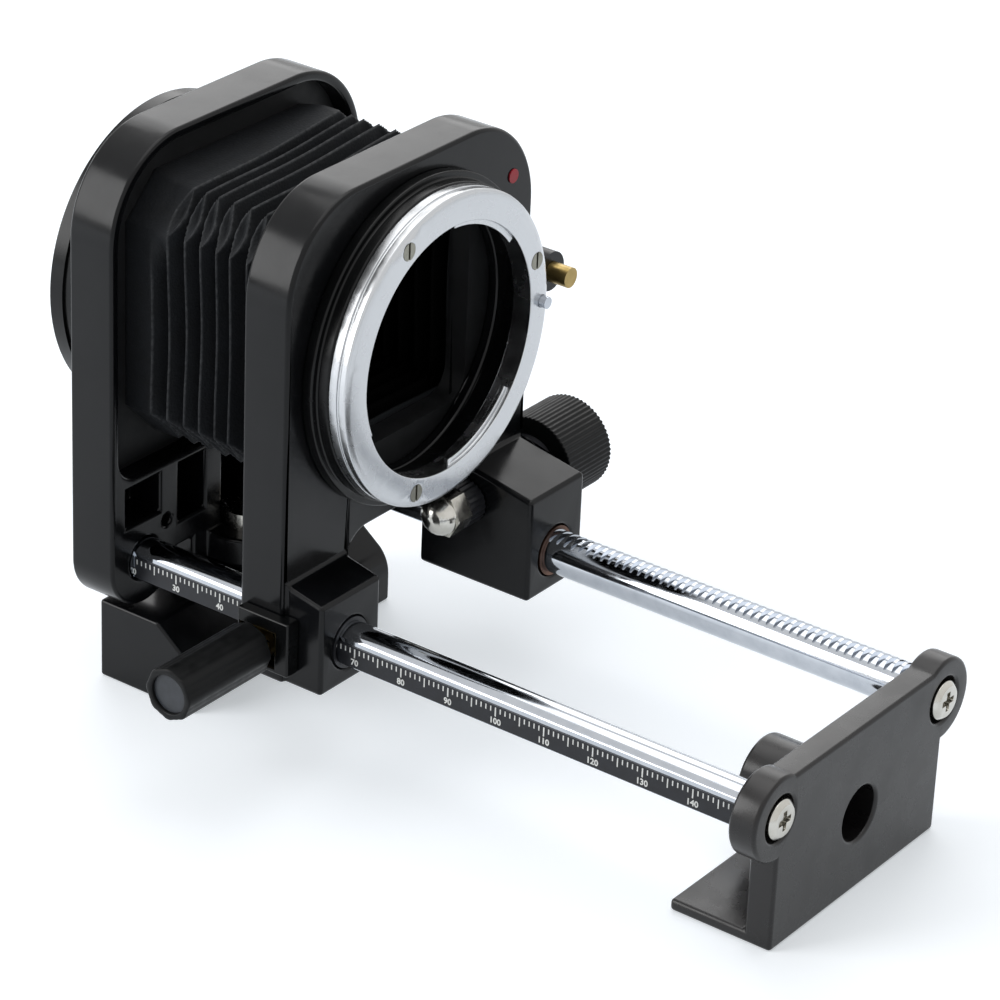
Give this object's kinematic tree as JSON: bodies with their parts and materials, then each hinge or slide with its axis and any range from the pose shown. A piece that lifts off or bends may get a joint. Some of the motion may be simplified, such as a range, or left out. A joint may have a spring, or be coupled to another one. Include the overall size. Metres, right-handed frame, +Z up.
{
  "type": "macro bellows unit",
  "caption": "Camera extension bellows: two standards on twin rods, the front one driven by a rack and knob and held by a clamp, with a swivel tripod shoe and an end foot.",
  "frame": {"origin": "mouth of the tripod socket, on the surface that the unit stands on", "axes": "+X along the rods from the camera end towards the lens and the end plate, +Y across to the rack rod and the drive knob, +Z up"},
  "size_m": [0.1587, 0.1075, 0.105],
  "materials": {
    "black_casting": "gloss black paint over a light alloy casting",
    "black_collar": "black anodised, turned",
    "bright_chrome": "polished",
    "satin_chrome": "satin, turned",
    "black_steel": "blackened",
    "steel": "plain",
    "brass": "plain",
    "bronze": "sintered bronze",
    "bellows_cloth": "matt black leathercloth",
    "frame_board": "matt black board",
    "scale_black": "printed strip",
    "knob_black": "moulded, satin",
    "cap_grey": "smooth disc",
    "red_paint": "enamel"
  },
  "bodies": {
    "base": {"rear_standard": "black_casting", "camera_collar": "black_collar", "camera_bayonet": "satin_chrome", "camera_mount_screws": "steel", "bellows_rear_frame": "frame_board", "bellows": "bellows_cloth", "scale_rod": "bright_chrome", "scale_strip": "scale_black", "rack_rod": "bright_chrome", "rod_grub_screws": "black_steel", "end_plate": "black_casting", "end_screws": "bright_chrome"},
    "tripod_shoe": {"tripod_block": "black_casting", "tripod_bush": "steel", "pivot_pad": "black_casting", "pivot_washer": "steel", "pivot_screw": "bright_chrome"},
    "carriage": {"front_standard": "black_casting", "scale_rod_bushes": "black_steel", "rack_rod_bushes": "bronze", "bellows_front_frame": "frame_board", "lens_collar": "black_collar", "lens_mount_ring": "satin_chrome", "lens_mount_screws": "steel", "index_dot": "red_paint", "release_boss": "black_collar", "release_spring": "steel", "pinion_bush": "black_steel", "clamp_housing": "black_casting", "clamp_pad": "brass"},
    "drive": {"pinion_shaft": "steel", "drive_knob": "knob_black", "knob_grub_screw": "black_steel", "tension_collar": "black_steel", "acorn_nut": "bright_chrome"},
    "clamp": {"clamp_screw": "brass", "clamp_ring": "brass", "clamp_knob": "knob_black", "clamp_knob_cap": "cap_grey"},
    "button": {"release_button": "brass"},
    "lens_pin": {"lock_pin": "bright_chrome"}
  },
  "joints": [
    {"name": "carriage_slide", "type": "slide", "parent": "base", "child": "carriage", "axis": [1, 0, 0], "range_m": [-0.014, 0.074], "deforming": ["bellows"]},
    {"name": "drive_turn", "type": "hinge", "parent": "carriage", "child": "drive", "pos_m": [0.0365, 0, 0.03419], "axis": [0, 1, 0], "range_deg": [-158.5, 833.5]},
    {"name": "clamp_turn", "type": "hinge", "parent": "carriage", "child": "clamp", "pos_m": [0.0315, -0.04, 0.0255], "axis": [0, -1, 0], "range_deg": [-20, 340]},
    {"name": "release_press", "type": "slide", "parent": "carriage", "child": "button", "axis": [-1, 0, 0], "range_m": [0, 0.0015], "stiffness_N_per_m": 300, "springref_m": -0.002, "deforming": ["release_spring"]},
    {"name": "lens_pin_draw", "type": "slide", "parent": "carriage", "child": "lens_pin", "axis": [-1, 0, 0], "range_m": [0, 0.0015]},
    {"name": "shoe_swivel", "type": "hinge", "parent": "base", "child": "tripod_shoe", "pos_m": [0, 0, 0], "axis": [0, 0, 1], "continuous": true}
  ],
  "couplings": [
    {"joint": "drive_turn", "follows": "carriage_slide", "rad_per_m": 196.35},
    {"joint": "lens_pin_draw", "follows": "release_press", "ratio": 1}
  ]
}
